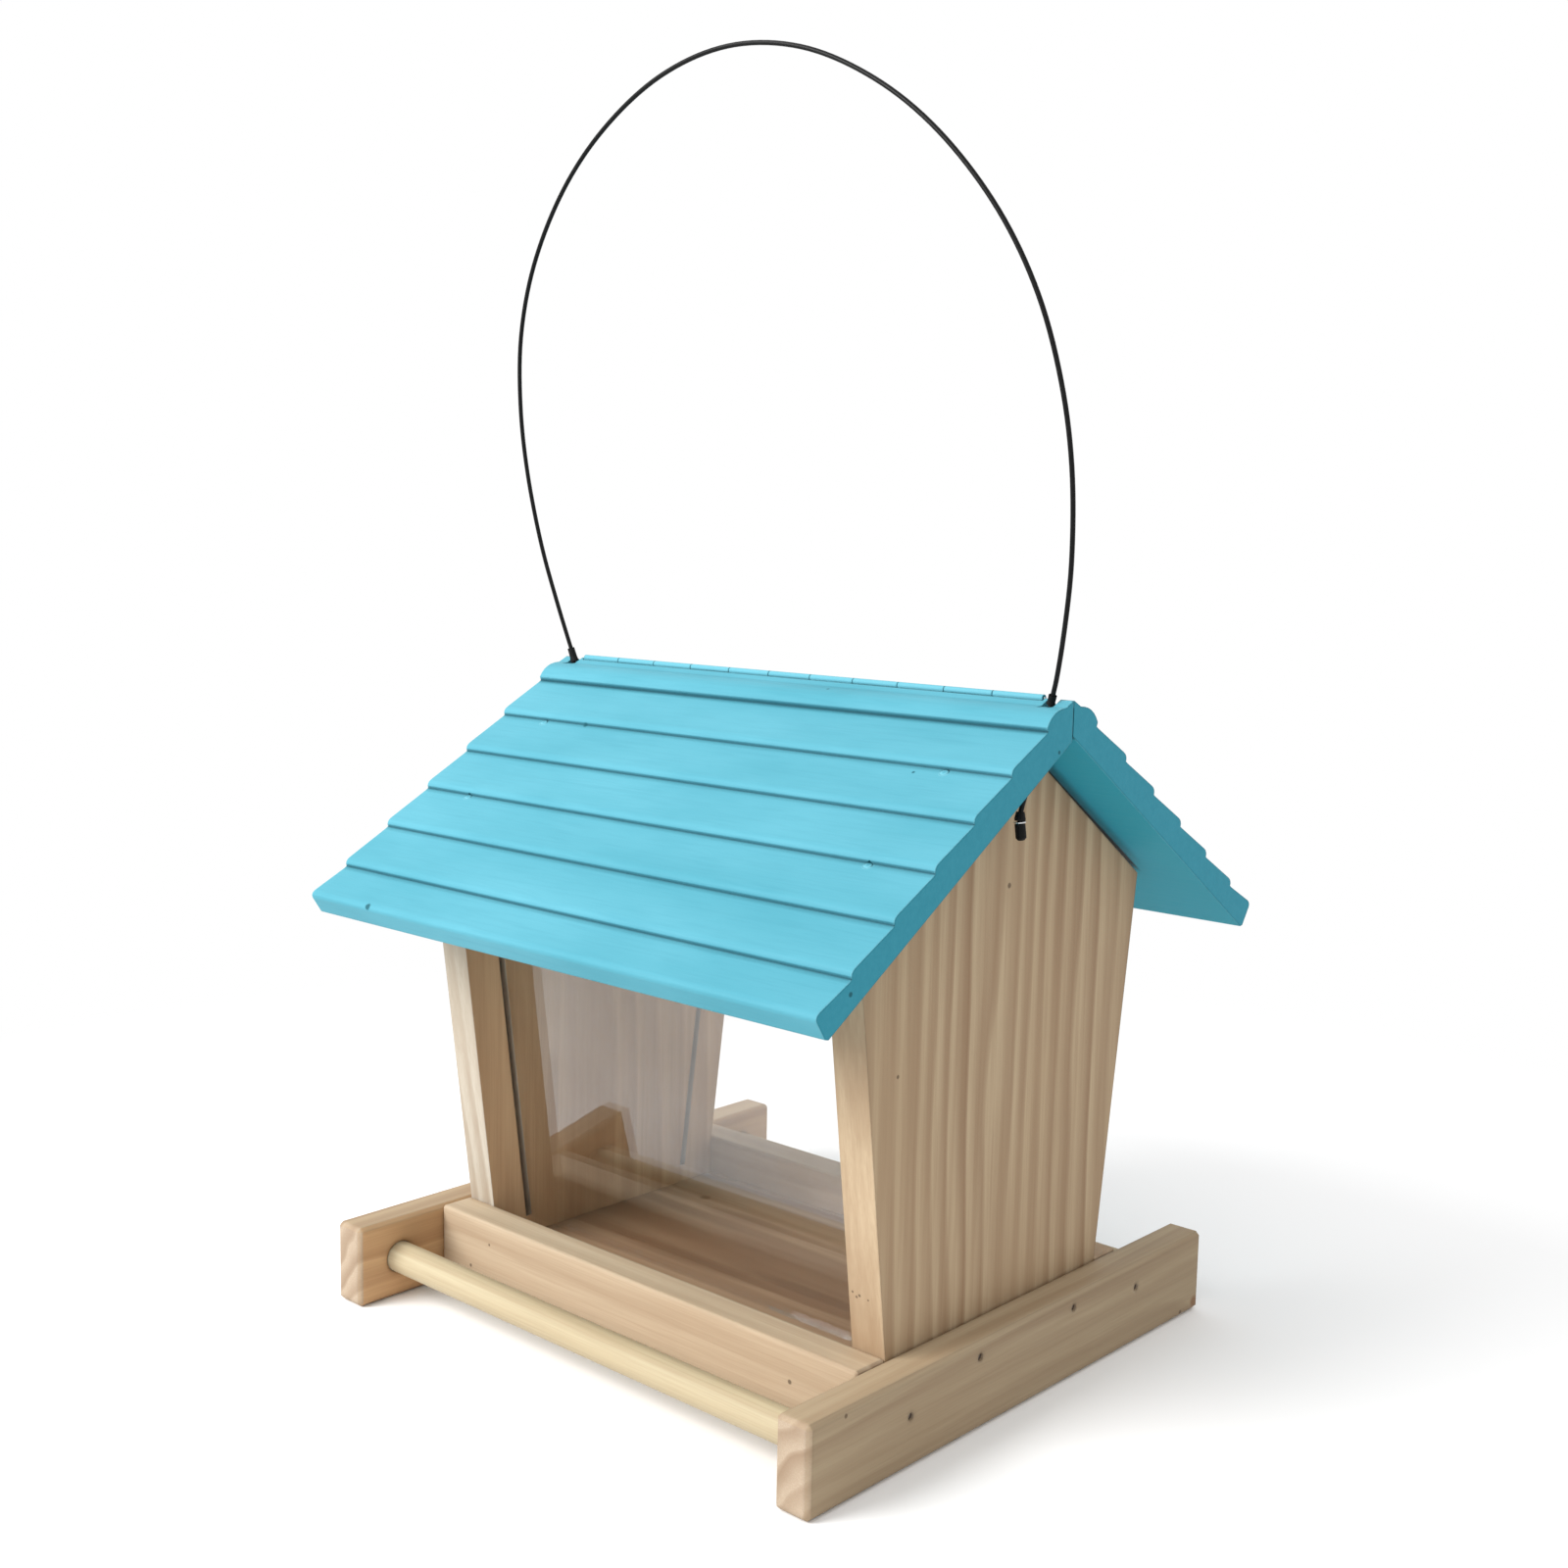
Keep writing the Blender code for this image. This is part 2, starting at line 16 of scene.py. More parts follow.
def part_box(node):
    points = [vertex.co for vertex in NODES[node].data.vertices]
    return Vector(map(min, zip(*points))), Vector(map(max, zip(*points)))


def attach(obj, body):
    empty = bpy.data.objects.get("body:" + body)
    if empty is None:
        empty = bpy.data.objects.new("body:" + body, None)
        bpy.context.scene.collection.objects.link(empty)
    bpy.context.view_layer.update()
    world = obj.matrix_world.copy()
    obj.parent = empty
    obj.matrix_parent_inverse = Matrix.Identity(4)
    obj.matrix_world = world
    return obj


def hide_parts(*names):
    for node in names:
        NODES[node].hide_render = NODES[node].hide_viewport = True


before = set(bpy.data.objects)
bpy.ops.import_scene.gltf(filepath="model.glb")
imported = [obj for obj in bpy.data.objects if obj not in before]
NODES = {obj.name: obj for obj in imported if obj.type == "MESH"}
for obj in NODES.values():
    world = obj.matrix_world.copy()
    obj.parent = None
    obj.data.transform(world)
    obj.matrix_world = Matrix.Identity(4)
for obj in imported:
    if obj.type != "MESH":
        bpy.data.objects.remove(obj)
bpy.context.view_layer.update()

# Camera: where it stands, and the way it looks.
CAMERA_PLACE = Vector((0.50478, -0.55516, 0.31673))
CAMERA_AZIMUTH = math.radians(42.16)
CAMERA_ELEVATION = math.radians(7.613)
CAMERA_ROLL = math.radians(1.12)
CAMERA_LENS = 43.61  # mm
CAMERA_SENSOR = 36.0  # mm wide

# The loop's route, from its top down the right-hand leg to the end under the roof. The left leg mirrors it.
CABLE_ROUTE = (
    (0.0, -0.0361, 0.4916),
    (0.0355, -0.0357, 0.4862),
    (0.0687, -0.0343, 0.4711),
    (0.0953, -0.0319, 0.4509),
    (0.1184, -0.0278, 0.4233),
    (0.1321, -0.0231, 0.3959),
    (0.1389, -0.0177, 0.3676),
    (0.1408, -0.0123, 0.3399),
    (0.1382, -0.0063, 0.3080),
    (0.1332, -0.0017, 0.2836),
    (0.1284, 0.0015, 0.2655),
    (0.1264, 0.0023, 0.2592),
    (0.1260, 0.0021, 0.2560),
    (0.1260, -0.0019, 0.2472),
    (0.1260, -0.0064, 0.2372),
    (0.1260, -0.0101, 0.2288),
    (0.1260, -0.0125, 0.2236),
    (0.1260, -0.0138, 0.2203),
    (0.1262, -0.0141, 0.2170),
    (0.1267, -0.0139, 0.2126),
)
CABLE_DIAMETER = 0.0018
CABLE_SPAN = 0.004  # longest stretch between two points of the tube

ROOF_SLOPE = math.radians(33.2)
CREASE_SHADE_FADE = (0.2565, 0.2572)  # heights between which the roof's painted crease shade fades
GABLE_INSIDE = (0.1070, 0.1080)  # distances from the middle between which the painted shade on the lid's underside ends
NAIL_HEAD = 0.0013  # radius
# The paint over a roof nail and the nail below it, from its top down: (radius, height above the course).
NAIL_RINGS = ((0.0007, 0.00016), (0.0014, 0.00010), (0.0020, 0.0), (0.0021, -0.0002), (0.0006, -0.0010),
              (0.0006, -0.0240))
NAIL_TOP = 0.00018
NAIL_POINT = -0.0255
NAIL_SIDES = 24

ACRYLIC_IOR = 1.49

AXES = {"X": 0, "Y": 1, "Z": 2}


# Camera and light.


def add_camera():
    forward = Vector((-math.sin(CAMERA_AZIMUTH), math.cos(CAMERA_AZIMUTH), 0.0)) * math.cos(CAMERA_ELEVATION)
    forward.z = -math.sin(CAMERA_ELEVATION)
    level = Vector((math.cos(CAMERA_AZIMUTH), math.sin(CAMERA_AZIMUTH), 0.0))
    upright = level.cross(forward)
    right = level * math.cos(CAMERA_ROLL) + upright * math.sin(CAMERA_ROLL)
    up = upright * math.cos(CAMERA_ROLL) - level * math.sin(CAMERA_ROLL)
    data = bpy.data.cameras.new("camera")
    data.lens = CAMERA_LENS
    data.sensor_width = CAMERA_SENSOR
    data.clip_start = 0.01
    camera = bpy.data.objects.new("camera", data)
    turn = Matrix((right, up, -forward)).transposed().to_4x4()
    camera.matrix_world = Matrix.Translation(CAMERA_PLACE) @ turn
    bpy.context.scene.collection.objects.link(camera)
    bpy.context.scene.camera = camera


def add_area_light(name, place, aim, size, power, colour=(1.0, 1.0, 1.0)):
    data = bpy.data.lights.new(name, "AREA")
    data.shape = "DISK"
    data.size = size
    data.energy = power
    data.color = colour
    light = bpy.data.objects.new(name, data)
    direction = Vector(aim) - Vector(place)
    light.matrix_world = Matrix.Translation(place) @ direction.to_track_quat("-Z", "Y").to_matrix().to_4x4()
    bpy.context.scene.collection.objects.link(light)


def light_studio():
    scene = bpy.context.scene
    scene.view_settings.view_transform = "Standard"
    world = bpy.data.worlds.new("studio")
    world.use_nodes = True
    world.node_tree.nodes["Background"].inputs["Color"].default_value = (1.0, 1.0, 1.0, 1.0)
    world.node_tree.nodes["Background"].inputs["Strength"].default_value = 1.0
    scene.world = world
    add_area_light("key", (-0.62, -1.35, 1.05), (0.0, 0.0, 0.12), 1.1, 36.0)


# Material graphs.


class Graph:
    """A material's node tree, with a short call for each kind of node that is used here."""

    def __init__(self, name):
        self.material = bpy.data.materials.new(name)
        self.material.use_nodes = True
        self.tree = self.material.node_tree
        self.shader = self.tree.nodes["Principled BSDF"]

    def feed(self, socket, value):
        if isinstance(value, bpy.types.NodeSocket):
            self.tree.links.new(value, socket)
        elif value is not None:
            socket.default_value = value

    def node(self, kind, inputs=(), **settings):
        made = self.tree.nodes.new(kind)
        for key, value in settings.items():
            setattr(made, key, value)
        for key, value in dict(inputs).items():
            self.feed(made.inputs[key], value)
        return made

    def math(self, operation, first, second=None, third=None):
        made = self.node("ShaderNodeMath", operation=operation)
        for socket, value in zip(made.inputs, (first, second, third)):
            self.feed(socket, value)
        return made.outputs[0]

    def vector(self, operation, first, second=None):
        made = self.node("ShaderNodeVectorMath", operation=operation)
        for socket, value in zip(made.inputs, (first, second)):
            self.feed(socket, value)
        return made.outputs["Value"] if operation in ("LENGTH", "DISTANCE") else made.outputs[0]

    def noise(self, vector, scale, detail=2.0, roughness=0.5):
        inputs = {"Vector": vector, "Scale": scale, "Detail": detail, "Roughness": roughness}
        return self.node("ShaderNodeTexNoise", inputs).outputs["Fac"]

    def ramp(self, value, stops, smooth=False):
        """A ramp of (position, colour) stops. A grey is given as one number."""
        made = self.node("ShaderNodeValToRGB", {"Fac": value})
        made.color_ramp.interpolation = "EASE" if smooth else "LINEAR"
        elements = made.color_ramp.elements
        while len(elements) < len(stops):
            elements.new(1.0)
        for element, (position, colour) in zip(elements, stops):
            element.position = position
            element.color = (*colour, 1.0) if hasattr(colour, "__len__") else (colour, colour, colour, 1.0)
        return made.outputs["Color"]

    def mix(self, factor, first, second, blend="MIX"):
        made = self.node("ShaderNodeMix", data_type="RGBA", blend_type=blend)
        for socket, value in zip((made.inputs[0], made.inputs[6], made.inputs[7]), (factor, first, second)):
            self.feed(socket, (*value, 1.0) if isinstance(value, tuple) else value)
        return made.outputs[2]

    def bump(self, height, distance, strength=1.0, normal=None):
        inputs = {"Height": height, "Distance": distance, "Strength": strength, "Normal": normal}
        return self.node("ShaderNodeBump", inputs).outputs["Normal"]

    def soft_edges(self, radius):
        """The surface's normal, turned near an edge as though the edge were sanded round."""
        return self.node("ShaderNodeBevel", {"Radius": radius}, samples=4).outputs["Normal"]

    def split(self, vector):
        return self.node("ShaderNodeSeparateXYZ", {0: vector}).outputs

    def fade(self, value, start, end, first=1.0, last=0.0):
        """A number that goes from first to last while the value goes from start to end."""
        return self.node("ShaderNodeMapRange", {0: value, 1: start, 2: end, 3: first, 4: last}).outputs[0]

    def openness(self, distance, inside=False):
        """How free of other surfaces a point is within the distance, outside the solid or inside it."""
        inputs = {"Distance": distance}
        return self.node("ShaderNodeAmbientOcclusion", inputs, samples=8, inside=inside).outputs["AO"]

    def blend_surfaces(self, share, first, second):
        """Gives the material the first surface where share is 0, and the second where it is 1."""
        blend = self.node("ShaderNodeMixShader", {0: share, 1: first, 2: second})
        self.tree.links.new(blend.outputs[0], self.tree.nodes["Material Output"].inputs["Surface"])

    def place(self):
        return self.node("ShaderNodeTexCoord").outputs["Object"]

    def facing(self):
        """The surface's own normal, in the object's axes."""
        return self.node("ShaderNodeTexCoord").outputs["Normal"]

    def stretched(self, place, axis, along, across=1.0):
        """Coordinates squeezed along the grain, so that a texture runs with it."""
        scale = [across, across, across]
        scale[AXES[axis]] = along
        return self.vector("MULTIPLY", place, tuple(scale))

    def spots(self, place, marks):
        """A mask that is 1 in each (x, y, z, radius) mark and fades out at its edge."""
        total = 0.0
        for x, y, z, radius in marks:
            near = self.vector("DISTANCE", place, (x, y, z))
            total = self.math("MAXIMUM", total, self.fade(near, radius * 0.55, radius))
        return total


# Wood.

PALE = (0.455, 0.345, 0.228)
MIDDLE = (0.385, 0.270, 0.165)
DARK = (0.255, 0.155, 0.085)


def wood(name, axis, pith, ring, seed, tone=(1.0, 1.0, 1.0), right=None, front=None, contrast=1.0, edge=0.0012,
         marks=(), knots=(), bands=()):
    """Bare softwood cut from a log whose pith runs along axis, through pith on the other two axes in order.

    The rings are a solid texture: a board's faces show stripes and its ends the arcs of the same rings.
    """
    g = Graph(name)
    place = g.place()
    shifted = g.vector("ADD", place, (seed * 0.37, seed * 0.71, seed * 0.53))
    slow = g.noise(g.stretched(shifted, axis, 0.16), 26.0, 2.0, 0.45)
    waver = g.math("MULTIPLY", g.math("SUBTRACT", slow, 0.5), ring * 2.2)
    centre = [pith[0], pith[1]]
    centre.insert(AXES[axis], 0.0)
    away = g.vector("SUBTRACT", place, tuple(centre))
    radial = g.vector("LENGTH", g.stretched(away, axis, 0.035))
    for kx, ky, kz, radius in knots:
        near = g.vector("DISTANCE", g.stretched(place, axis, 0.5), knot_centre((kx, ky, kz), axis, 0.5))
        share = g.math("POWER", 2.718, g.math("MULTIPLY", near, -1.0 / (radius * 2.5)))
        radial = g.math("ADD", radial, g.math("MULTIPLY", share, radius * 2.0))
    phase = g.math("DIVIDE", g.math("ADD", radial, waver), ring)
    phase = g.math("ADD", phase, g.math("MULTIPLY", g.noise(g.stretched(shifted, axis, 0.02), 60.0, 1.0), 0.9))
    share = g.math("FRACT", phase)
    number = g.math("FLOOR", phase)
    year = g.node("ShaderNodeTexWhiteNoise", {"W": number}, noise_dimensions="1D").outputs["Value"]
    late = g.ramp(share, [(0.0, 0.0), (0.22, 0.12), (0.55, 0.72), (0.8, 1.0), (0.93, 0.55), (1.0, 0.0)])
    late = g.math("MULTIPLY", late, g.math("MULTIPLY_ADD", year, 0.6, 0.55))
    fibre = g.noise(g.stretched(shifted, axis, 0.018), 1500.0, 3.0, 0.6)
    strand = g.noise(g.stretched(shifted, axis, 0.03), 330.0, 2.0, 0.55)
    cloud = g.noise(g.stretched(shifted, axis, 0.35), 17.0, 2.0, 0.5)

    colour = g.mix(g.math("MULTIPLY", late, 0.5 * contrast), PALE, DARK)
    colour = g.mix(g.ramp(cloud, [(0.38, 0.0), (0.66, 0.55)]), colour, MIDDLE)
    colour = g.mix(g.ramp(strand, [(0.42, 0.0), (0.68, 0.06 + 0.13 * contrast)]), colour, DARK)
    colour = g.mix(g.ramp(fibre, [(0.35, 0.20), (0.6, 0.0)]), colour, DARK)
    # Darker bands, each a ragged ellipsoid at a given place, mixed towards a dark strand colour.
    for centre, reach, depth in bands:
        away = g.vector("MULTIPLY", g.vector("SUBTRACT", place, centre), tuple(1.0 / size for size in reach))
        away = g.math("ADD", g.vector("LENGTH", away), g.math("MULTIPLY", g.math("SUBTRACT", slow, 0.5), 2.4))
        band_colour = g.mix(strand, DARK, (0.13, 0.075, 0.04))
        colour = g.mix(g.ramp(away, [(0.3, depth), (1.0, 0.0)]), colour, band_colour)
    facing = g.split(g.facing())
    end = g.ramp(g.math("ABSOLUTE", facing[AXES[axis]]), [(0.6, 0.0), (0.85, 1.0)])
    pores = g.noise(shifted, 1900.0, 2.0, 0.6)
    end_colour = g.mix(g.math("MULTIPLY", late, 0.7), (0.42, 0.33, 0.24), (0.22, 0.14, 0.08))
    end_colour = g.mix(g.ramp(pores, [(0.4, 0.22), (0.62, 0.0)]), end_colour, DARK)
    # Painted light and shade: faces turned to +X take the right tint and faces turned to -Y the front tint, in
    # place of the tone, standing for how the light falls on those sides.
    faces = g.mix(g.ramp(facing[0], [(0.5, 0.0), (0.8, 1.0)]), tone, right or tone)
    front_lit_share = g.ramp(g.math("MULTIPLY", facing[1], -1.0), [(0.5, 0.0), (0.8, 1.0)])
    colour = g.mix(1.0, colour, g.mix(front_lit_share, faces, front or tone), "MULTIPLY")
    colour = g.mix(end, colour, end_colour)
    for kx, ky, kz, radius in knots:
        near = g.vector("DISTANCE", place, (kx, ky, kz))
        near = g.math("ADD", near, g.math("MULTIPLY", g.math("SUBTRACT", strand, 0.5), radius * 0.5))
        heart = g.fade(near, radius * 0.6, radius * 1.15, 0.85)
        colour = g.mix(heart, colour, (0.20, 0.10, 0.045))
    if marks:
        colour = g.mix(g.math("MULTIPLY", g.spots(place, marks), 0.8), colour, (0.09, 0.055, 0.03))
    g.feed(g.shader.inputs["Base Color"], colour)
    rough = g.math("MULTIPLY_ADD", late, -0.12, 0.66)
    g.feed(g.shader.inputs["Roughness"], g.math("MULTIPLY_ADD", fibre, 0.12, rough))
    g.shader.inputs["Specular IOR Level"].default_value = 0.35
    height = g.math("MULTIPLY_ADD", late, 0.35, g.math("MULTIPLY", fibre, 0.5))
    g.feed(g.shader.inputs["Normal"], g.bump(height, 0.0002, 0.5, g.soft_edges(edge)))
    return g.material


def knot_centre(place, axis, along):
    return tuple(value * (along if index == AXES[axis] else 1.0) for index, value in enumerate(place))


# Paint, plastic and metal.


def roof_paint(name, seed, marks=(), shade_over_gables=False):
    """Satin turquoise paint, brushed along the courses, with painted shade in the creases, on the end faces
    and on down-facing faces, and painted highlights on the course edges.
    """
    g = Graph(name)
    place = g.place()
    shifted = g.vector("ADD", place, (seed, 0.0, 0.0))
    streaks = g.noise(g.stretched(shifted, "X", 0.05), 900.0, 3.0, 0.6)
    grain = g.noise(g.stretched(shifted, "X", 0.06), 210.0, 2.0, 0.5)
    peel = g.noise(shifted, 1300.0, 2.0, 0.5)
    cloud = g.noise(g.stretched(shifted, "X", 0.4), 26.0, 3.0, 0.55)
    top = g.mix(g.ramp(cloud, [(0.3, 0.0), (0.7, 1.0)]), (0.068, 0.290, 0.366), (0.098, 0.345, 0.430))
    top = g.mix(g.ramp(streaks, [(0.3, 0.16), (0.55, 0.0)]), top, (0.035, 0.20, 0.27))
    top = g.mix(g.ramp(grain, [(0.62, 0.0), (0.74, 0.14)]), top, (0.035, 0.20, 0.27))
    facing = g.split(g.facing())
    # Painted shade: the end faces take a darker turquoise, and down-facing faces a more saturated one, set for
    # the shade they are in.
    end = g.ramp(g.math("ABSOLUTE", facing[0]), [(0.6, 0.0), (0.9, 1.0)])
    down = g.ramp(g.math("MULTIPLY", facing[2], -1.0), [(0.6, 0.0), (0.75, 1.0)])
    end_colour = g.mix(g.noise(shifted, 420.0, 3.0, 0.6), (0.020, 0.212, 0.288), (0.036, 0.262, 0.345))
    colour = g.mix(end, g.mix(down, top, (0.032, 0.345, 0.455)), end_colour)
    where = g.split(place)
    # Painted highlight: convex course edges, found where the solid is thin, are lightened, except on the end
    # faces.
    edge_highlight = g.ramp(g.openness(0.0011, inside=True), [(0.5, 0.65), (0.85, 0.0)])
    edge_highlight = g.math("MULTIPLY", edge_highlight, g.math("SUBTRACT", 1.0, end))
    colour = g.mix(edge_highlight, colour, (0.150, 0.440, 0.530))
    # Painted shade: the creases between courses are darkened, kept weak at the ridge and on the end faces.
    crease_shade = g.ramp(g.openness(0.0026), [(0.5, 0.97), (0.78, 0.75), (0.95, 0.0)])
    below_ridge = g.fade(where[2], *CREASE_SHADE_FADE, last=0.12)
    on_top = g.math("MULTIPLY", below_ridge, g.math("SUBTRACT", 1.0, g.math("MULTIPLY", end, 0.8)))
    colour = g.mix(g.math("MULTIPLY", crease_shade, on_top), colour, (0.001, 0.045, 0.064))
    # Painted shade: the lid's underside over the gables is painted near black where other surfaces are close.
    if shade_over_gables:
        inboard = g.fade(g.math("ABSOLUTE", where[0]), *GABLE_INSIDE)
        near = g.ramp(g.openness(0.014), [(0.80, 1.0), (0.93, 0.0)])
        shade = g.math("MULTIPLY", near, g.math("MULTIPLY", down, inboard))
        colour = g.mix(shade, colour, (0.002, 0.003, 0.004))
    if marks:
        colour = g.mix(g.math("MULTIPLY", g.spots(place, marks), 0.85), colour, (0.004, 0.07, 0.09))
    g.feed(g.shader.inputs["Base Color"], colour)
    g.feed(g.shader.inputs["Roughness"], g.math("MULTIPLY_ADD", streaks, 0.15, 0.46))
    g.shader.inputs["Specular IOR Level"].default_value = 0.14
    relief = g.math("ADD", g.math("MULTIPLY", streaks, 0.7), g.math("MULTIPLY", peel, 0.3))
    g.feed(g.shader.inputs["Normal"], g.bump(relief, 0.00018, 0.5, g.soft_edges(0.0012)))
    return g.material


def acrylic():
    """A clear sheet: it mirrors by its angle to the eye and lets the rest straight through."""
    g = Graph("clear_acrylic")
    place = g.place()
    back = g.node("ShaderNodeNewGeometry").outputs["Backfacing"]
    ratio = g.math("MULTIPLY_ADD", back, 1.0 / ACRYLIC_IOR - ACRYLIC_IOR, ACRYLIC_IOR)
    mirror = g.node("ShaderNodeFresnel", {"IOR": ratio}).outputs[0]
    smear = g.ramp(g.noise(place, 11.0, 4.0, 0.6), [(0.35, 0.0), (0.75, 0.030)])
    share = g.math("MULTIPLY_ADD", mirror, 1.15, smear)
    clear = g.node("ShaderNodeBsdfTransparent", {"Color": (0.985, 0.985, 0.985, 1.0)}).outputs[0]
    g.shader.inputs["Base Color"].default_value = (1.0, 1.0, 1.0, 1.0)
    g.shader.inputs["Metallic"].default_value = 1.0
    g.feed(g.shader.inputs["Roughness"], g.ramp(g.noise(place, 23.0, 3.0), [(0.4, 0.010), (0.8, 0.030)]))
    g.blend_surfaces(share, clear, g.shader.outputs[0])
    return g.material


def black_coating(name, roughness):
    g = Graph(name)
    place = g.place()
    g.feed(g.shader.inputs["Base Color"], g.ramp(g.noise(place, 700.0, 3.0), [(0.3, 0.002), (0.7, 0.006)]))
    g.feed(g.shader.inputs["Roughness"], g.math("MULTIPLY_ADD", g.noise(place, 1600.0), 0.2, roughness))
    g.shader.inputs["Specular IOR Level"].default_value = 0.15
    g.feed(g.shader.inputs["Normal"], g.bump(g.noise(place, 2200.0), 0.0001, 0.3))
    return g.material


def steel(name, colour=(0.55, 0.54, 0.52), rust=0.0):
    g = Graph(name)
    place = g.place()
    grime = g.ramp(g.noise(place, 1400.0, 4.0, 0.65), [(0.35, 0.0), (0.7, 1.0)])
    g.feed(g.shader.inputs["Base Color"], g.mix(g.math("MULTIPLY", grime, rust), colour, (0.09, 0.05, 0.03)))
    g.shader.inputs["Metallic"].default_value = 1.0
    g.feed(g.shader.inputs["Roughness"], g.math("MULTIPLY_ADD", grime, 0.25, 0.28))
    return g.material


# Pieces.


def through(points, longest):
    """A smooth centripetal curve through the points, as a list with no stretch much over longest."""
    padded = [2 * points[0] - points[1], *points, 2 * points[-1] - points[-2]]
    found = [points[0]]
    for a, b, c, d in zip(padded, padded[1:], padded[2:], padded[3:]):
        knots = [0.0]
        for first, second in ((a, b), (b, c), (c, d)):
            knots.append(knots[-1] + math.sqrt((second - first).length))
        steps = max(1, round((c - b).length / longest))
        for i in range(1, steps + 1):
            t = knots[1] + (knots[2] - knots[1]) * i / steps
            found.append(curve_value((a, b, c, d), knots, t))
    return found


def curve_value(corners, knots, t):
    """The value at t of the curve through four corners, by repeated blending."""
    ends = [corners[i].lerp(corners[i + 1], (t - knots[i]) / (knots[i + 1] - knots[i])) for i in range(3)]
    middles = [ends[i].lerp(ends[i + 1], (t - knots[i]) / (knots[i + 2] - knots[i])) for i in range(2)]
    return middles[0].lerp(middles[1], (t - knots[1]) / (knots[2] - knots[1]))


def add_cable():
    right = [Vector(point) for point in CABLE_ROUTE]
    left = [Vector((-p.x, p.y, p.z)) for p in right]
    line = through(left[::-1] + right[1:], CABLE_SPAN)
    curve = bpy.data.curves.new("wire_loop", "CURVE")
    curve.dimensions = "3D"
    curve.bevel_depth = CABLE_DIAMETER / 2
    curve.bevel_resolution = 5
    curve.use_fill_caps = True
    spline = curve.splines.new("POLY")
    spline.points.add(len(line) - 1)
    for point, place in zip(spline.points, line):
        point.co = (*place, 1.0)
    cable = bpy.data.objects.new("wire_loop", curve)
    bpy.context.scene.collection.objects.link(cable)
    curve.materials.append(black_coating("wire_coating", 0.32))
    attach(cable, "hanging_loop")
    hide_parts("hanging_cable")


def paint(node, material):
    data = NODES[node].data
    data.materials.clear()
    data.materials.append(material)


def dress_boards():
    panel_marks = [(0.1137, -0.0013, 0.1915, 0.0013), (0.1137, -0.0626, 0.133, 0.0009),
                   (0.1005, -0.0680, 0.0543, 0.0006), (0.1022, -0.0680, 0.0528, 0.0007),
                   (0.1036, -0.0679, 0.0537, 0.0007), (0.1075, -0.0678, 0.0531, 0.0005)]
    rail_marks = [(0.129, -0.104, 0.0308, 0.0010), (0.129, 0.108, 0.0020, 0.0012)]
    tray_marks = [(0.0832, -0.0805, 0.0196, 0.0011), (-0.095, -0.0805, 0.012, 0.0009),
                  (-0.083, -0.0805, 0.024, 0.0007)]
    # The right and front tints below are painted light and shade for the faces turned those ways.
    woods = {
        "right_end_panel": wood("panel_wood_right", "Z", (0.165, -0.30), 0.0112, 1.0, tone=(0.93, 0.92, 0.88),
                                right=(0.96, 0.96, 0.92), front=(1.14, 1.17, 1.18), contrast=1.9,
                                marks=panel_marks,
                                # This band down the panel's upper front edge is a painted shadow of the eave.
                                bands=[((0.105, -0.082, 0.145), (0.014, 0.014, 0.062), 0.22)]),
        "left_end_panel": wood("panel_wood_left", "Z", (-0.19, -0.05), 0.0105, 2.0, tone=(1.0, 0.98, 0.94),
                               right=(1.20, 1.02, 0.86), front=(1.10, 1.32, 1.66), contrast=1.3),
        "right_side_rail": wood("rail_wood_right", "Y", (0.20, -0.06), 0.0085, 3.0, tone=(0.98, 1.00, 0.98),
                                right=(0.75, 0.77, 0.74), front=(1.0, 1.0, 1.0), contrast=1.1, edge=0.003,
                                marks=rail_marks, knots=[(0.128, 0.1185, 0.0035, 0.0030)]),
        "left_side_rail": wood("rail_wood_left", "Y", (-0.19, 0.07), 0.0085, 4.0, tone=(0.98, 0.96, 0.92),
                               right=(1.24, 1.0, 0.76), front=(1.0, 1.0, 1.0), contrast=1.1, edge=0.003),
        "front_tray_rail": wood("tray_wood_front", "X", (0.02, 0.09), 0.0070, 5.0, tone=(1.14, 1.18, 1.22),
                                front=(1.10, 1.13, 1.18), contrast=0.7, edge=0.002, marks=tray_marks),
        "rear_tray_rail": wood("tray_wood_rear", "X", (0.0, 0.10), 0.0070, 6.0, tone=(1.02, 0.95, 0.90),
                               contrast=0.8),
        "floor_board": wood("floor_wood", "X", (0.004, 0.058), 0.0135, 7.0, tone=(1.02, 0.87, 0.79),
                            contrast=2.4,
                            knots=[(-0.0753, 0.038, 0.016, 0.0026)],
                            bands=[((-0.035, -0.019, 0.016), (0.050, 0.006, 0.01), 0.6),
                                   ((0.035, -0.010, 0.016), (0.040, 0.004, 0.01), 0.7),
                                   ((-0.060, 0.020, 0.016), (0.040, 0.004, 0.01), 0.5)]),
        "front_perch": wood("perch_wood_front", "X", (0.0, 0.06), 0.0045, 8.0, tone=(1.08, 1.18, 1.14),
                            front=(1.08, 1.22, 1.22), contrast=0.6),
        "rear_perch": wood("perch_wood_rear", "X", (0.0, 0.07), 0.0045, 9.0, tone=(1.04, 1.10, 1.05),
                           contrast=0.6),
    }
    for node, material in woods.items():
        paint(node, material)


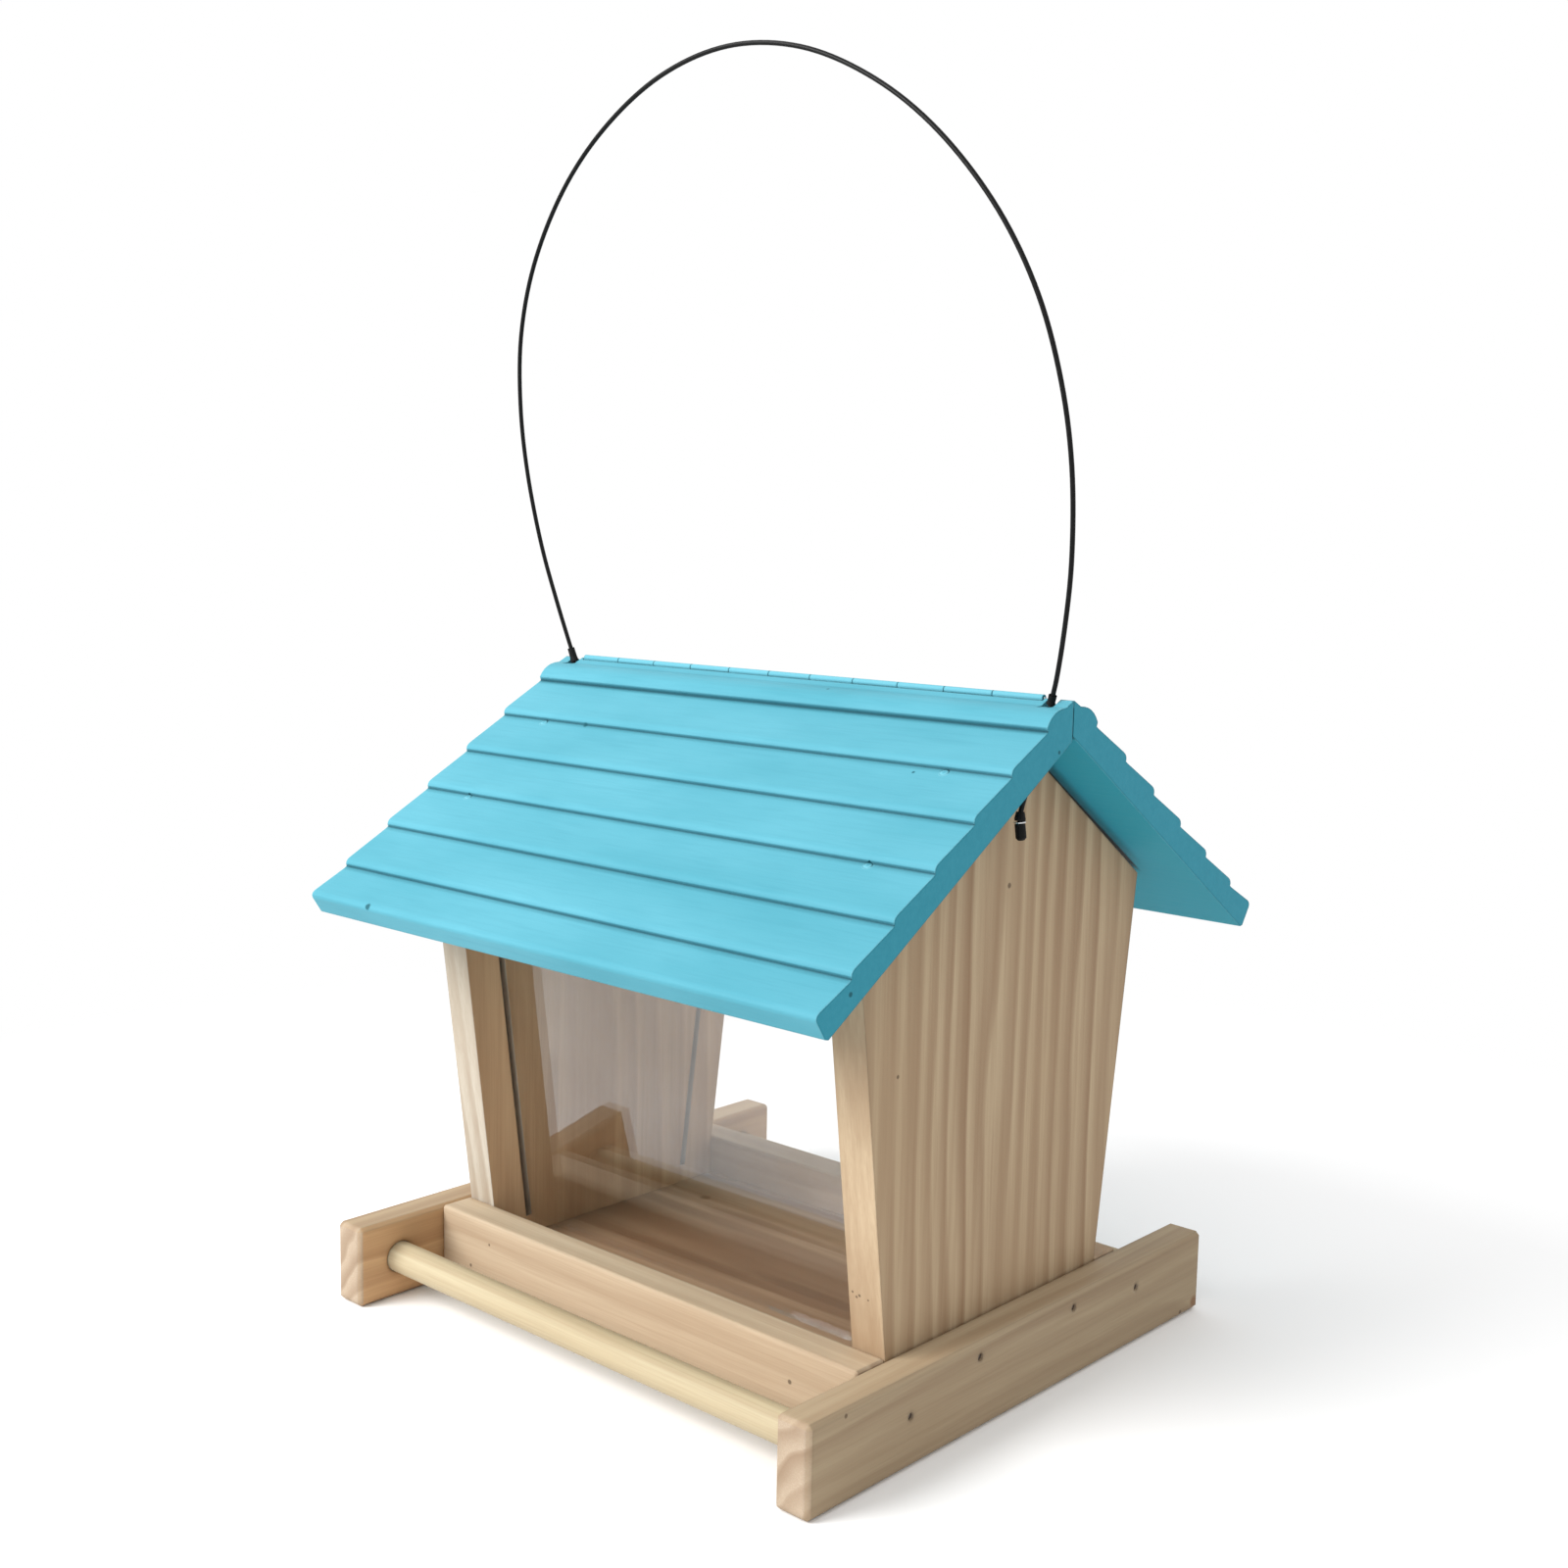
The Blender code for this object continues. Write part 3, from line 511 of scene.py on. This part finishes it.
def add_roof_nail(node, material):
    """A nail whose head is under a shallow dab of the roof's paint, flush with its course."""
    low, high = (Vector(corner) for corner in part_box(node))
    outwards = Vector((0.0, -math.sin(ROOF_SLOPE), math.cos(ROOF_SLOPE)))
    head = Vector(((low.x + high.x) / 2, low.y + NAIL_HEAD * outwards.z, high.z + NAIL_HEAD * outwards.y))
    beside = head + outwards * 0.02 + Vector((0.004, 0.0, 0.0))
    hit, surface, _, _ = NODES["front_roof_panel"].ray_cast(beside, -outwards)
    top = head + outwards * ((surface - head).dot(outwards) if hit else 0.0)
    sides = NAIL_SIDES
    points = [(0.0, 0.0, NAIL_TOP)]
    for radius, height in NAIL_RINGS:
        turns = (2 * math.pi * i / sides for i in range(sides))
        points += [(radius * math.cos(turn), radius * math.sin(turn), height) for turn in turns]
    points.append((0.0, 0.0, NAIL_POINT))
    faces = [(0, 1 + i, 1 + (i + 1) % sides) for i in range(sides)]
    for ring in range(len(NAIL_RINGS) - 1):
        for i in range(sides):
            a, b = 1 + ring * sides + i, 1 + ring * sides + (i + 1) % sides
            faces.append((a, a + sides, b + sides, b))
    last = 1 + (len(NAIL_RINGS) - 1) * sides
    faces += [(len(points) - 1, last + (i + 1) % sides, last + i) for i in range(sides)]
    data = bpy.data.meshes.new(node + "_painted")
    data.from_pydata(points, [], faces)
    data.shade_smooth()
    data.materials.append(material)
    nail = bpy.data.objects.new(node + "_painted", data)
    nail.matrix_world = Matrix.Translation(top) @ outwards.to_track_quat("Z", "Y").to_matrix().to_4x4()
    bpy.context.scene.collection.objects.link(nail)
    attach(nail, "feeder_body")
    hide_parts(node)


def dress_metal_and_plastic():
    nail_steel = steel("nail_steel", (0.16, 0.14, 0.12), 0.7)
    plate_steel = steel("washer_steel", (0.70, 0.70, 0.70))
    rubber = black_coating("stop_rubber", 0.5)
    for name in NODES:
        if "rail_nail" in name:
            paint(name, nail_steel)
        elif "screw" in name or "washer" in name or name == "hinge_pin":
            paint(name, plate_steel)
        elif name.endswith(("boot", "bush", "sleeve")):
            paint(name, rubber)


def dress_roof():
    nicks = [(-0.0813, -0.0307, 0.2351, 0.0014), (-0.0970, -0.1286, 0.1696, 0.0017),
             (0.0939, -0.0338, 0.2333, 0.0008), (0.0274, -0.0038, 0.2565, 0.0008),
             (0.1340, -0.0030, 0.2417, 0.0009), (0.1340, -0.1129, 0.1740, 0.0011)]
    paint("front_roof_panel", roof_paint("front_roof_paint", 0.0, marks=nicks))
    paint("rear_roof_lid", roof_paint("lid_paint", 0.31, shade_over_gables=True))
    dab = roof_paint("nail_dab_paint", 0.0)
    for node in [name for name in NODES if "roof_nail" in name]:
        add_roof_nail(node, dab)
    for number, node in enumerate(("front_hinge_leaf", "lid_hinge_leaf")):
        paint(node, roof_paint(node + "_paint", 0.62 + 0.31 * number))


def add_floor():
    """A pale floor that turns to plain white a little way off, so that it has no horizon."""
    data = bpy.data.meshes.new("studio_floor")
    half = 6.0
    corners = [(x, y, -0.0004) for x, y in ((-half, -half), (half, -half), (half, half), (-half, half))]
    data.from_pydata(corners, [], [(0, 1, 2, 3)])
    floor = bpy.data.objects.new("studio_floor", data)
    bpy.context.scene.collection.objects.link(floor)
    g = Graph("studio_floor")
    g.shader.inputs["Base Color"].default_value = (0.93, 0.93, 0.93, 1.0)
    g.shader.inputs["Roughness"].default_value = 0.9
    g.shader.inputs["Specular IOR Level"].default_value = 0.0
    far = g.math("DIVIDE", g.vector("LENGTH", g.place()), 0.62)
    share = g.ramp(far, [(0.25, 0.0), (1.0, 1.0)], smooth=True)
    glow = g.node("ShaderNodeEmission", {"Color": (1.0, 1.0, 1.0, 1.0)}).outputs[0]
    g.blend_surfaces(share, g.shader.outputs[0], glow)
    data.materials.append(g.material)


def main():
    add_camera()
    add_cable()
    light_studio()
    dress_boards()
    dress_roof()
    dress_metal_and_plastic()
    window = acrylic()
    for node in ("front_window", "rear_window"):
        paint(node, window)
    add_floor()


main()
